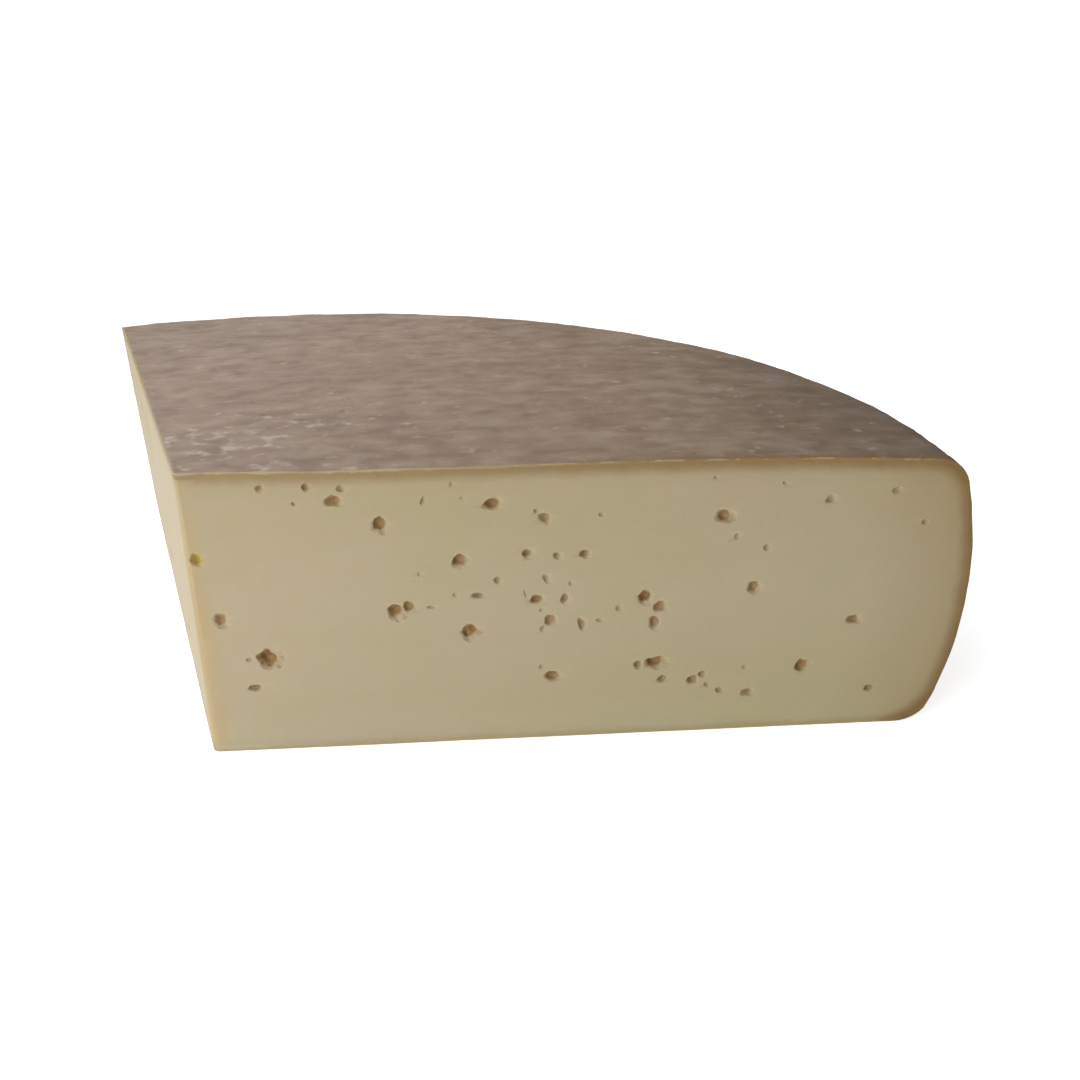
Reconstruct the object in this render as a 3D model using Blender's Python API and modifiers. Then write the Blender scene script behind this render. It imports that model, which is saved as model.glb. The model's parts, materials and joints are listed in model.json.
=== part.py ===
"""A wedge of tomme: a wheel of pressed mountain cheese, turned from its section, cut twice
from the rim to the centre, with its eyes opened where the knife passed through them.

Metres, +Z up. The origin is the middle of the wedge's bounding box, on its base.
"""

import math
import random

import bmesh
import bpy
from mathutils import Matrix, Vector, noise

MM = 0.001

# The wheel
WHEEL_RADIUS = 0.200
WHEEL_HEIGHT = 0.0785
WHEEL_STEPS = 150
HEEL_HEIGHT = 0.0429
HEEL_CURVE = 0.1043
TOP_SHOULDER = 0.0082
BASE_SHOULDER = 0.0099
TOP_DROOP = 0.0029
DROOP_POWER = 5
TOP_SWELL = 0.0012
SWELL_REACH = 0.030
FLAT_STEPS = 20
HEEL_STEPS = 7
SHOULDER_STEPS = 5

# The wedge. The back cut was made by hand: it leans inward as it rises, and turns a little,
# in radians for each metre of height.
WEDGE_ANGLE = math.radians(108.8)
BACK_LEAN = 0.0119
BACK_TURN = 0.183
KNIFE_REACH = 0.3
KNIFE_STEPS = 12

# The rind's uneven skin
RIND_RELIEF = 0.0004
RIND_GRAIN = 0.014

# The eyes: how far an eye's middle lies behind the cut, as a share of its depth, how
# uneven its wall is, the grain of that, and the width in mm from which it is modelled finely
EYE_SINK = 0.3
EYE_ROUGHNESS = 0.22
EYE_GRAIN = 0.0022
FINE_EYE = 2.9

# The eyes of the front cut: distance from the wedge's point, height above the base, width,
# height, and turn in degrees, counter-clockwise as seen from the front. Sizes in mm.
UPPER_LEFT_EYES = (
    (21.3, 74.8, 2.0, 1.6, 0), (32.6, 74.6, 2.2, 1.6, 0), (29.2, 70.4, 1.7, 1.4, 0),
    (39.2, 70.9, 5.2, 3.2, 10), (41.0, 73.9, 2.8, 2.0, 30), (49.9, 63.8, 4.8, 4.4, 0),
    (60.7, 70.0, 1.8, 3.6, -20), (67.9, 73.9, 1.5, 1.9, 0), (70.3, 70.2, 2.0, 1.4, 0),
    (78.0, 68.4, 6.2, 3.0, 8), (88.4, 66.0, 2.0, 1.7, 0), (90.8, 63.8, 4.2, 3.0, -25),
    (104.7, 64.3, 2.2, 1.4, 0),
)
LEFT_EYES = (
    (3.7, 56.4, 4.4, 4.2, 0), (8.2, 39.5, 5.4, 4.8, 0), (18.5, 27.8, 7.0, 6.4, 0),
    (13.3, 27.6, 3.2, 1.8, 0), (14.0, 19.2, 5.2, 2.2, 5), (68.8, 53.3, 5.0, 3.8, 15),
    (58.6, 50.0, 1.7, 1.5, 0), (67.3, 43.9, 2.0, 1.5, 0), (73.3, 43.3, 4.6, 2.0, 0),
    (78.1, 47.4, 2.4, 2.2, 0), (52.1, 39.7, 4.6, 5.2, -30), (55.4, 40.7, 4.4, 3.8, -20),
    (61.0, 40.6, 3.0, 1.4, 0), (70.8, 33.0, 5.4, 5.2, 0),
)
MIDDLE_EYES = (
    (85.9, 54.7, 3.6, 3.2, 30), (93.5, 53.5, 3.2, 2.0, -20), (100.7, 54.1, 4.2, 2.8, 15),
    (90.4, 47.6, 2.4, 3.2, 25), (96.8, 45.6, 2.0, 2.0, 0), (88.3, 41.7, 5.0, 2.8, 20),
    (85.0, 43.2, 1.2, 3.4, 10), (95.2, 41.5, 2.6, 3.6, -15), (89.0, 38.3, 1.6, 1.4, 0),
    (91.6, 35.8, 4.8, 3.6, 30), (89.2, 33.1, 1.6, 2.4, -30), (99.3, 33.9, 2.6, 4.6, 15),
    (104.0, 34.8, 2.4, 1.4, 0), (108.9, 38.1, 2.0, 1.8, 0), (91.9, 18.7, 5.0, 3.2, 0),
    (88.6, 21.8, 1.8, 1.8, 0),
)
RIGHT_EYES = (
    (115.8, 40.6, 4.8, 4.6, -30), (119.9, 38.0, 4.4, 3.4, 30), (118.5, 33.4, 3.6, 4.6, -10),
    (119.1, 21.5, 6.6, 3.8, 5), (114.2, 21.0, 2.8, 2.6, 0), (120.9, 16.6, 4.0, 2.4, 15),
    (129.0, 15.9, 4.0, 2.8, 15), (131.4, 17.5, 3.4, 2.4, 20), (132.6, 13.9, 2.4, 1.6, -30),
    (136.0, 12.2, 2.8, 1.9, 0), (143.7, 11.0, 4.0, 2.9, 0), (142.5, 18.9, 2.0, 1.3, 0),
    (135.8, 62.6, 5.2, 3.9, 0), (139.0, 56.9, 2.0, 2.2, 0), (146.6, 53.5, 2.2, 2.2, 0),
    (143.9, 42.2, 4.0, 4.2, -20), (133.0, 73.1, 1.9, 1.3, 0), (150.4, 70.9, 2.0, 1.6, 0),
    (162.2, 66.2, 3.6, 2.4, 20), (178.7, 67.6, 3.2, 2.2, 0), (186.6, 58.9, 2.4, 2.0, 0),
    (170.7, 32.0, 4.4, 3.1, 15), (158.1, 18.6, 5.2, 3.8, 15), (176.7, 11.0, 4.0, 2.3, 10),
)
FRONT_EYES = UPPER_LEFT_EYES + LEFT_EYES + MIDDLE_EYES + RIGHT_EYES

# The eyes of the back cut follow a rule: nests of them, each eye a random step from its
# nest's middle. Sizes in mm.
BACK_SEED = 7
BACK_NESTS = 9
EYES_A_NEST = (2, 5)
BACK_REACH = (18, 176)
BACK_HEIGHT = (13, 66)
NEST_SPREAD = (9, 5)
EYE_WIDTH = (1.8, 5.6)
EYE_SQUAT = (0.6, 1.0)
EYE_TURN = 35


def new_object(name, bm, collection):
    """A mesh object made from a bmesh, linked to one collection."""
    mesh = bpy.data.meshes.new(name)
    bm.to_mesh(mesh)
    bm.free()
    obj = bpy.data.objects.new(name, mesh)
    collection.objects.link(obj)
    return obj


def new_collection(name):
    """A collection linked to the scene."""
    collection = bpy.data.collections.new(name)
    bpy.context.scene.collection.children.link(collection)
    return collection


def as_cutter(obj):
    """Marks an object as a cutter, which no render shows."""
    obj.hide_render = True
    obj.display_type = "WIRE"


def arc(middle, radius, start, end, steps):
    """Points of an arc in the wheel's section, as (distance from the axis, height)."""
    points = []
    for i in range(steps + 1):
        angle = start + (end - start) * i / steps
        points.append((middle[0] + radius * math.cos(angle), middle[1] + radius * math.sin(angle)))
    return points


def wheel_section():
    """The outline of half a wheel, from the middle of its top to the middle of its base.

    The heel is one wide arc, and each shoulder is a small arc that touches it from inside. The
    top swells a little in its middle and droops towards the rim.
    """
    heel_middle = (WHEEL_RADIUS - HEEL_CURVE, HEEL_HEIGHT)
    top_rim = WHEEL_HEIGHT - TOP_DROOP
    top_rise = top_rim - TOP_SHOULDER - HEEL_HEIGHT
    top_angle = math.asin(top_rise / (HEEL_CURVE - TOP_SHOULDER))
    top_middle = (
        heel_middle[0] + (HEEL_CURVE - TOP_SHOULDER) * math.cos(top_angle),
        top_rim - TOP_SHOULDER,
    )
    base_angle = -math.asin((HEEL_HEIGHT - BASE_SHOULDER) / (HEEL_CURVE - BASE_SHOULDER))
    base_middle = (
        heel_middle[0] + (HEEL_CURVE - BASE_SHOULDER) * math.cos(base_angle),
        BASE_SHOULDER,
    )
    top = []
    for i in range(FLAT_STEPS):
        share = i / FLAT_STEPS
        reach = top_middle[0] * share
        swell = TOP_SWELL * math.exp(-((reach / SWELL_REACH) ** 2))
        top.append((reach, WHEEL_HEIGHT + swell - TOP_DROOP * share**DROOP_POWER))
    quarter = math.pi / 2
    upper = arc(top_middle, TOP_SHOULDER, quarter, top_angle, SHOULDER_STEPS)
    heel = arc(heel_middle, HEEL_CURVE, top_angle, base_angle, HEEL_STEPS)
    lower = arc(base_middle, BASE_SHOULDER, base_angle, -quarter, SHOULDER_STEPS)
    return top + upper + heel[1:-1] + lower + [(0.0, 0.0)]


def make_wheel(collection):
    """The whole wheel, turned from its section, with an uneven rind everywhere but its base."""
    section = wheel_section()
    bm = bmesh.new()
    verts = [bm.verts.new((radius, 0.0, height)) for radius, height in section]
    for a, b in zip(verts, verts[1:]):
        bm.edges.new((a, b))
    wheel = new_object("tomme_wedge", bm, collection)
    wheel.rotation_euler.z = math.pi / WHEEL_STEPS

    rind = wheel.vertex_groups.new(name="rind")
    above_base = [i for i, (_, height) in enumerate(section) if height > 0.5 * BASE_SHOULDER]
    rind.add(above_base, 1.0, "REPLACE")

    turned = wheel.modifiers.new("turned", "SCREW")
    turned.axis = "Z"
    turned.steps = WHEEL_STEPS
    turned.render_steps = WHEEL_STEPS
    turned.use_merge_vertices = True
    turned.merge_threshold = 0.0001

    grain = bpy.data.textures.new("rind_grain", "CLOUDS")
    grain.noise_scale = RIND_GRAIN
    grain.noise_depth = 1
    relief = wheel.modifiers.new("rind_relief", "DISPLACE")
    relief.texture = grain
    relief.strength = RIND_RELIEF
    relief.mid_level = 0.5
    relief.vertex_group = "rind"
    return wheel


def back_cut_shift(reach, height):
    """How far the back cut stands outside an upright plane through the axis, at one place."""
    return height * (BACK_TURN * reach - BACK_LEAN)


def make_knife(collection):
    """Two blocks that take away all of the wheel outside the wedge."""
    for name, side, turn in (("front_cut", -1, 0.0), ("back_cut", 1, WEDGE_ANGLE)):
        bm = bmesh.new()
        place = Matrix.Translation((0.0, side * KNIFE_REACH / 2, 0.0))
        shape = Matrix.Diagonal((2 * KNIFE_REACH, KNIFE_REACH, KNIFE_REACH, 1.0))
        bmesh.ops.create_cube(bm, size=1.0, matrix=place @ shape)
        if name == "back_cut":
            bmesh.ops.subdivide_edges(bm, edges=bm.edges[:], cuts=KNIFE_STEPS - 1, use_grid_fill=True)
            for vert in bm.verts:
                if vert.co.y < 0.001:
                    vert.co.y += back_cut_shift(vert.co.x, vert.co.z)
        block = new_object(name, bm, collection)
        block.rotation_euler.z = turn
        as_cutter(block)


def scattered_eyes():
    """The eyes of the back cut, by the rule above, in the same form as the front cut's."""
    draw = random.Random(BACK_SEED)
    eyes = []
    for nest in range(BACK_NESTS):
        low, high = BACK_REACH
        reach = low + (high - low) * (nest + draw.random()) / BACK_NESTS
        height = draw.uniform(*BACK_HEIGHT)
        for _ in range(draw.randint(*EYES_A_NEST)):
            x = min(max(draw.gauss(reach, NEST_SPREAD[0]), low), high)
            z = min(max(draw.gauss(height, NEST_SPREAD[1]), BACK_HEIGHT[0]), BACK_HEIGHT[1])
            width = EYE_WIDTH[0] + (EYE_WIDTH[1] - EYE_WIDTH[0]) * draw.random() ** 1.6
            squat = draw.uniform(*EYE_SQUAT)
            eyes.append((x, z, width, width * squat, draw.uniform(-EYE_TURN, EYE_TURN)))
    return eyes


def make_eye(name, eye, side, collection):
    """One eye: an uneven egg that the cut passes through, a little in front of its middle.

    side is 1 on the front cut, where distances run along +X, and -1 on the back cut.
    """
    x, z, width, height, turn = eye
    share = 1 / math.sqrt(1 - EYE_SINK**2)
    half_width = 0.5 * width * MM * share
    half_height = 0.5 * height * MM * share
    depth = math.sqrt(half_width * half_height)
    middle = Vector((side * x * MM, EYE_SINK * depth, z * MM))
    if side < 0:
        middle.y -= back_cut_shift(x * MM, z * MM)

    bm = bmesh.new()
    fineness = 2 if max(width, height) > FINE_EYE else 1
    bmesh.ops.create_icosphere(bm, subdivisions=fineness, radius=1.0)
    spin = Matrix.Rotation(-side * math.radians(turn), 3, "Y")
    for vert in bm.verts:
        point = spin @ Vector((half_width * vert.co.x, depth * vert.co.y, half_height * vert.co.z))
        bumps = noise.noise((middle + point) / EYE_GRAIN)
        vert.co = middle + point * (1 + EYE_ROUGHNESS * bumps)
    cutter = new_object(name, bm, collection)
    if side < 0:
        cutter.rotation_euler.z = WEDGE_ANGLE - math.pi
    as_cutter(cutter)


def make_eyes(collection):
    """All the eyes that the two cuts open."""
    for i, eye in enumerate(FRONT_EYES):
        make_eye(f"front_eye_{i:02d}", eye, 1, collection)
    for i, eye in enumerate(scattered_eyes()):
        make_eye(f"back_eye_{i:02d}", eye, -1, collection)


def cut(obj, name, cutters):
    """Takes the cutters of a collection away from an object.

    The two cuts meet close to the wheel's axis, where all its turned faces end. The manifold
    solver keeps the body closed there.
    """
    modifier = obj.modifiers.new(name, "BOOLEAN")
    modifier.operation = "DIFFERENCE"
    modifier.operand_type = "COLLECTION"
    modifier.collection = cutters
    modifier.solver = "MANIFOLD"


def cheese_material():
    """Pale paste. The rind's colour is a finish, and not a piece of its own."""
    material = bpy.data.materials.new("tomme")
    material.use_nodes = True
    shader = material.node_tree.nodes["Principled BSDF"]
    shader.inputs["Base Color"].default_value = (0.62, 0.51, 0.32, 1.0)
    shader.inputs["Roughness"].default_value = 0.55
    shader.inputs["Metallic"].default_value = 0.0
    return material


def centre_on_base(objects):
    """Moves the objects so that the wedge's box stands with its middle over the origin."""
    low_x = min(
        reach * math.cos(WEDGE_ANGLE) - back_cut_shift(reach, height) * math.sin(WEDGE_ANGLE)
        for reach, height in wheel_section()
    )
    shift = Vector((-(WHEEL_RADIUS + low_x) / 2, -WHEEL_RADIUS / 2, 0.0))
    for obj in objects:
        obj.location += shift


def main():
    for obj in list(bpy.data.objects):
        bpy.data.objects.remove(obj)
    part = new_collection("Tomme wedge")
    knife = new_collection("Knife")
    eyes = new_collection("Eyes")

    wedge = make_wheel(part)
    make_knife(knife)
    make_eyes(eyes)
    cut(wedge, "knife", knife)
    cut(wedge, "eyes", eyes)
    wedge.data.materials.append(cheese_material())
    centre_on_base([*part.objects, *knife.objects, *eyes.objects])


main()
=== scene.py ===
"""A wide wedge of tomme: its paste with open eyes, its rind, and the table it lies on.

Run as a script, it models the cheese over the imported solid, lights it and sets the camera.
Lengths are in metres, except where a name or a comment says millimetres.
"""

import json
import math
import random

import bmesh
import bpy
from bpy.props import FloatProperty, FloatVectorProperty, IntProperty, PointerProperty
from bpy.types import Operator, Panel, PropertyGroup
from mathutils import Matrix, Vector

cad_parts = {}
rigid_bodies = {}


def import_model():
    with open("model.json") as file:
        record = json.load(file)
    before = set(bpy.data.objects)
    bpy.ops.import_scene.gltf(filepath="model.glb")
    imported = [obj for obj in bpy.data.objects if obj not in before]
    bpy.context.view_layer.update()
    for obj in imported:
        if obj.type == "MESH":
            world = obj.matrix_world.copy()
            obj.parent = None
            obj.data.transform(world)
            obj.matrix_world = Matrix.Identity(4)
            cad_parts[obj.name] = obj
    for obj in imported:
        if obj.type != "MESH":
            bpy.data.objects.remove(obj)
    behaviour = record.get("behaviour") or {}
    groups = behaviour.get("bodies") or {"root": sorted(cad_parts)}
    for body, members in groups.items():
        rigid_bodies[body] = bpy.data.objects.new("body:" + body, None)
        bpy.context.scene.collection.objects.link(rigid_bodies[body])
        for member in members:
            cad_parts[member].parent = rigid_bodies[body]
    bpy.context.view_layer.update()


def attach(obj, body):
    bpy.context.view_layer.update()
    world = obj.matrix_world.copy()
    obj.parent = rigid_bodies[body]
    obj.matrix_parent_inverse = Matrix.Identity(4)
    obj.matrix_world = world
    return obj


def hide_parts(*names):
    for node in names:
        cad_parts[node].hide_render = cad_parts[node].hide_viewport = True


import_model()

bl_info = {
    "name": "Tomme wedge",
    "version": (1, 0, 0),
    "blender": (4, 5, 0),
    "location": "View3D > Sidebar > Tomme",
    "description": "Models a wedge of tomme with its rind, its paste and its eyes",
    "category": "Add Mesh",
}

MM = 0.001
NODE = "tomme_wedge"

# The eyes of the front cut: distance from the wedge's point, height above the base, width,
# height, turn in degrees, counter-clockwise as seen from the front, and how deep the eye is
# (faint 0.45, middling 0.7, deep 1.0). Sizes in mm.
UPPER_LEFT_EYES = (
    (21.3, 74.8, 2.6, 2.3, 0, 1.0), (32.6, 74.6, 2.6, 2.2, 0, 1.0),
    (29.2, 70.4, 1.7, 1.4, 0, 1.0), (39.2, 70.9, 5.2, 3.2, 10, 1.0),
    (41.0, 73.9, 3.0, 2.4, 30, 0.7), (49.9, 63.8, 4.8, 4.4, 0, 0.7),
    (60.7, 70.0, 1.8, 3.6, -20, 0.45), (67.9, 73.9, 1.5, 1.9, 0, 0.45),
    (70.3, 70.2, 2.0, 1.4, 0, 0.45), (78.0, 68.4, 6.2, 3.0, 8, 1.0),
    (88.4, 66.0, 2.0, 1.7, 0, 0.7), (90.8, 63.8, 4.2, 3.0, -25, 0.7),
    (104.7, 64.3, 2.2, 1.4, 0, 0.45),
)
MELLOW_EYE = (3.7, 56.4, 3.8, 3.6, 0, 0.7)
LEFT_EYES = (
    MELLOW_EYE, (7.6, 39.5, 4.2, 4.4, 0, 0.45),
    (18.4, 27.8, 7.0, 6.0, 0, 1.0), (13.3, 27.6, 3.2, 1.8, 0, 0.45),
    (14.0, 19.2, 5.2, 2.2, 5, 0.7), (68.8, 53.3, 5.0, 3.8, 15, 1.0),
    (58.6, 50.0, 1.7, 1.5, 0, 0.45), (67.3, 43.9, 2.0, 1.5, 0, 0.45),
    (73.3, 43.3, 4.6, 2.0, 0, 0.7), (78.1, 47.4, 2.4, 2.2, 0, 0.45),
    (52.1, 39.7, 4.6, 5.2, -30, 1.0), (55.4, 40.7, 4.4, 3.8, -20, 0.7),
    (61.0, 40.6, 3.0, 1.4, 0, 0.45), (70.8, 33.0, 5.4, 5.2, 0, 0.7),
)
MIDDLE_EYES = (
    (85.9, 54.7, 3.6, 3.2, 30, 1.0), (93.5, 53.5, 3.2, 2.0, -20, 0.7),
    (100.7, 54.1, 4.2, 2.8, 15, 0.7), (90.4, 47.6, 2.4, 3.2, 25, 0.45),
    (96.8, 45.6, 2.0, 2.0, 0, 0.45), (88.3, 41.7, 5.0, 2.8, 20, 1.0),
    (85.0, 43.2, 1.2, 3.4, 10, 0.45), (95.2, 41.5, 2.6, 3.6, -15, 0.7),
    (89.0, 38.3, 1.6, 1.4, 0, 0.45), (91.6, 35.8, 4.8, 3.6, 30, 0.7),
    (89.2, 33.1, 1.6, 2.4, -30, 0.45), (99.3, 33.9, 2.6, 4.6, 15, 0.45),
    (104.0, 34.8, 2.4, 1.4, 0, 0.45), (108.9, 38.1, 2.0, 1.8, 0, 0.45),
    (91.9, 18.7, 5.0, 3.2, 0, 1.0), (88.6, 21.8, 1.8, 1.8, 0, 0.45),
)
RIGHT_EYES = (
    (115.8, 40.6, 4.8, 4.6, -30, 1.0), (119.9, 38.0, 4.4, 3.4, 30, 0.45),
    (118.5, 33.4, 3.6, 4.6, -10, 0.7), (119.1, 21.5, 6.6, 3.8, 5, 1.0),
    (114.2, 21.0, 2.8, 2.6, 0, 0.7), (120.9, 16.6, 4.0, 2.4, 15, 0.7),
    (129.0, 15.9, 4.0, 2.8, 15, 1.0), (131.4, 17.5, 3.4, 2.4, 20, 0.7),
    (132.6, 13.9, 2.4, 1.6, -30, 0.45), (136.0, 12.2, 2.8, 1.9, 0, 0.7),
    (143.7, 11.0, 4.0, 2.9, 0, 0.7), (142.5, 18.9, 2.0, 1.3, 0, 0.45),
    (135.8, 62.6, 5.2, 3.9, 0, 1.0), (139.0, 56.9, 2.0, 2.2, 0, 0.45),
    (146.6, 53.5, 2.2, 2.2, 0, 0.45), (143.9, 42.2, 4.0, 4.2, -20, 0.7),
    (133.0, 73.1, 1.9, 1.3, 0, 0.45), (150.4, 70.9, 2.0, 1.6, 0, 0.45),
    (162.2, 66.2, 3.6, 2.4, 20, 0.45), (178.7, 67.6, 3.2, 2.2, 0, 0.45),
    (186.6, 58.9, 2.4, 2.0, 0, 0.7), (170.7, 32.0, 4.4, 3.1, 15, 0.7),
    (158.1, 18.6, 5.2, 3.8, 15, 1.0), (176.7, 11.0, 4.0, 2.3, 10, 0.7),
)
FRONT_EYES = UPPER_LEFT_EYES + LEFT_EYES + MIDDLE_EYES + RIGHT_EYES

# A nick in the rind's edge above the back cut, in the same form.
NICK = (95.0, 78.4, 7.0, 3.0, 0, 0.85)

# How far the yellow reaches round the mellow eye, and in from the nick and along it, in mm.
MELLOW_REACH = 2.2
NICK_REACH = (2.4, 5.5)

# The eyes of the back cut follow the solid's own rule. Sizes in mm.
BACK_SEED = 7
BACK_NESTS = 9
EYES_A_NEST = (2, 5)
BACK_REACH = (18, 176)
BACK_HEIGHT = (13, 66)
NEST_SPREAD = (9, 5)
EYE_WIDTH = (1.8, 5.6)
SMALL_EYES = 1.6
EYE_SQUAT = (0.6, 1.0)
EYE_TURN = 35
EYE_DEPTHS = (0.45, 0.7, 1.0)

# How far an eye's middle lies behind the cut, as a share of its depth, that depth as a share of
# its radius, and the width over which an eye is modelled finely, in mm.
EYE_SINK = 0.3
EYE_DEPTH = 0.65
LARGE_EYE = 3.5

# How the model eye widens at its mouth and narrows further in, as shares of its radius.
MOUTH_STEPS = (-0.18, -0.24)
MOUTH_FLARE = (1.06, 1, 1.06)
WALL_STEPS = (-0.28, -0.22, -0.16, -0.10, -0.04, 0.04, 0.12, 0.20)
WALL_NARROWING = (0.93, 1, 0.95)
WALL_MIDDLE = (-0.55, 0, 0.15)

# The unevenness of an eye's wall: its grain in metres, and its height as a share of the radius.
WALL_GRAIN = 0.0022
WALL_UNEVENNESS = 0.55

# Where the two lamps stand and how wide they are, and the spot that they face.
KEY_LAMP = ((-0.20, 0.10, 0.40), 0.33)
FILL_LAMP = ((-0.35, -0.55, 0.35), 0.40)
LAMP_AIM = (0, 0, 0.04)

# Where the camera stands, from the foot of the wheel's axis, and how it is turned, in radians.
CAMERA_PLACE = (0.0804, -0.2638, 0.1743)
CAMERA_YAW, CAMERA_PITCH, CAMERA_ROLL = 0.0326, 0.4144, -0.0275


class TommeShape(PropertyGroup):
    """Sizes of the wheel and of the wedge that is cut from it."""

    wheel_radius: FloatProperty(
        name="Wheel radius", description="From the wheel's axis to its bulging heel",
        default=0.200, min=0.05, subtype="DISTANCE", unit="LENGTH",
    )
    wheel_height: FloatProperty(
        name="Wheel height", description="Height of the flat part of the wheel's top",
        default=0.0785, min=0.03, subtype="DISTANCE", unit="LENGTH",
    )
    wedge_angle: FloatProperty(
        name="Wedge angle", description="Angle between the two cuts, at their base",
        default=math.radians(108.8), min=0.2, max=2.8, subtype="ANGLE", unit="ROTATION",
    )
    back_lean: FloatProperty(
        name="Back lean", description="How far the back cut leans inward for each metre of height",
        default=0.0119,
    )
    back_turn: FloatProperty(
        name="Back turn", description="How far the back cut turns out for each metre of height",
        default=0.183,
    )
    heel_height: FloatProperty(
        name="Heel height", description="Height at which the heel bulges most",
        default=0.0429, subtype="DISTANCE", unit="LENGTH",
    )
    heel_curve: FloatProperty(
        name="Heel curve", description="Radius of the heel's arc, seen in section",
        default=0.1043, subtype="DISTANCE", unit="LENGTH",
    )
    top_shoulder: FloatProperty(
        name="Top shoulder", description="Radius of the rounding between top and heel",
        default=0.0082, subtype="DISTANCE", unit="LENGTH",
    )
    base_shoulder: FloatProperty(
        name="Base shoulder", description="Radius of the rounding between heel and base",
        default=0.0099, subtype="DISTANCE", unit="LENGTH",
    )
    top_droop: FloatProperty(
        name="Top droop", description="How far the top sinks towards the rim",
        default=0.0029, subtype="DISTANCE", unit="LENGTH",
    )
    top_swell: FloatProperty(
        name="Top swell", description="How far the middle of the top stands up",
        default=0.0012, subtype="DISTANCE", unit="LENGTH",
    )
    swell_reach: FloatProperty(
        name="Swell reach", description="How far that swelling reaches from the middle",
        default=0.030, min=0.001, subtype="DISTANCE", unit="LENGTH",
    )
    rind_thickness: FloatProperty(
        name="Rind thickness", description="Thickness of the rind, measured into the cheese",
        default=0.002, min=0.0005, subtype="DISTANCE", unit="LENGTH",
    )
    point_rounding: FloatProperty(
        name="Point rounding", description="Radius of the upright edge where the cuts meet",
        default=0.0026, min=0.0001, subtype="DISTANCE", unit="LENGTH",
    )
    knife_waves: FloatProperty(
        name="Knife waves", description="Depth of the waves that the knife leaves in a cut",
        default=0.00025, min=0.0, subtype="DISTANCE", unit="LENGTH",
    )
    skin_spacing: FloatProperty(
        name="Skin spacing", description="Size of the rind's faces",
        default=0.0015, min=0.0008, subtype="DISTANCE", unit="LENGTH",
    )
    cut_spacing: FloatProperty(
        name="Cut spacing", description="Size of the faces of the two cuts",
        default=0.0011, min=0.0006, subtype="DISTANCE", unit="LENGTH",
    )
    eye_fineness: IntProperty(
        name="Eye fineness", description="How finely an eye's wall is divided",
        default=4, min=2, max=5,
    )


def colour(name, description, value):
    """A colour that a user can change."""
    return FloatVectorProperty(
        name=name, description=description, default=value, size=3, subtype="COLOR",
        min=0.0, max=1.0,
    )


class TommeColours(PropertyGroup):
    """Colours of the cheese, as linear values."""

    paste: colour("Paste", "The paste in the middle of a cut", (0.368, 0.311, 0.202))
    paste_rosy: colour("Rosy paste", "Patches of warmer paste", (0.384, 0.311, 0.211))
    paste_olive: colour("Olive paste", "Patches of greener paste", (0.348, 0.307, 0.170))
    # The edge paste colour also serves as painted shade on the back cut.
    paste_edge_and_shade: colour("Edge paste", "The darker paste next to the rind", (0.295, 0.225, 0.112))
    band: colour("Brown band", "The golden brown band under the rind", (0.195, 0.114, 0.033))
    heel_rim: colour("Heel rim", "The dark outer line along the heel", (0.125, 0.072, 0.028))
    crust: colour("Crust edge", "The outer edge of the rind where it is cut", (0.320, 0.255, 0.155))
    point: colour("Worn point", "Ochre wear on the upright edge", (0.370, 0.280, 0.140))
    # The eye colour is partly the darker wall of an eye and partly painted shade deep in its
    # hollow.
    eye: colour("Eye", "The deep wall of an eye", (0.290, 0.172, 0.062))
    mellow: colour("Mellow eye", "The yellow in one eye and in the nick", (0.37, 0.275, 0.055))
    rind: colour("Rind", "The rind's main colour near the point", (0.248, 0.184, 0.140))
    rind_far: colour("Far rind", "The rind's main colour near the heel", (0.240, 0.168, 0.108))
    rind_dark: colour("Dark rind", "Streaks and hollows of the rind", (0.160, 0.112, 0.080))
    rind_pale: colour("Pale rind", "Dusty patches of the rind", (0.320, 0.248, 0.190))
    mould: colour("Mould", "White smears of mould", (0.44, 0.355, 0.31))
    mark: colour("Marks", "Small dark marks of the rind", (0.095, 0.065, 0.050))


class TommeStage(PropertyGroup):
    """The table, the light and the camera."""

    floor: colour("Table", "The table's colour", (0.86, 0.86, 0.86))
    floor_glow: FloatProperty(
        name="Table glow", description="Light that the white table gives off by itself",
        default=0.84, min=0.0,
    )
    world_light: FloatProperty(
        name="Room light", description="Strength of the even light from all round",
        default=0.15, min=0.0,
    )
    key_light: FloatProperty(
        name="Key light", description="Power of the soft light above the left cut",
        default=1.4, min=0.0, unit="POWER",
    )
    fill_light: FloatProperty(
        name="Fill light", description="Power of the soft light in front, on the left",
        default=3.2, min=0.0, unit="POWER",
    )
    lens: FloatProperty(
        name="Lens", description="Focal length on a 36 mm frame, in millimetres",
        default=38.449, min=10.0,
    )


# Modelling steps


def deselect_all():
    """Leaves edit mode with nothing selected."""
    if bpy.context.mode != "OBJECT":
        bpy.ops.object.mode_set(mode="OBJECT")
    bpy.ops.object.select_all(action="DESELECT")


def pick(obj):
    """Makes one object the selected and active one."""
    deselect_all()
    obj.select_set(True)
    bpy.context.view_layer.objects.active = obj


def named(name):
    """Names the object that was just added, and its mesh."""
    obj = bpy.context.object
    obj.name = name
    if obj.data:
        obj.data.name = name
    return obj


def select_in_edit(obj, kind, test):
    """Selects the vertices, edges or faces of the mesh in edit mode that pass a test."""
    mode = {"verts": "VERT", "edges": "EDGE", "faces": "FACE"}[kind]
    bpy.ops.mesh.select_mode(type=mode)
    bpy.ops.mesh.select_all(action="DESELECT")
    bm = bmesh.from_edit_mesh(obj.data)
    for item in getattr(bm, kind):
        if test(item):
            item.select_set(True)
    bm.select_flush_mode()
    bmesh.update_edit_mesh(obj.data)


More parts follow.
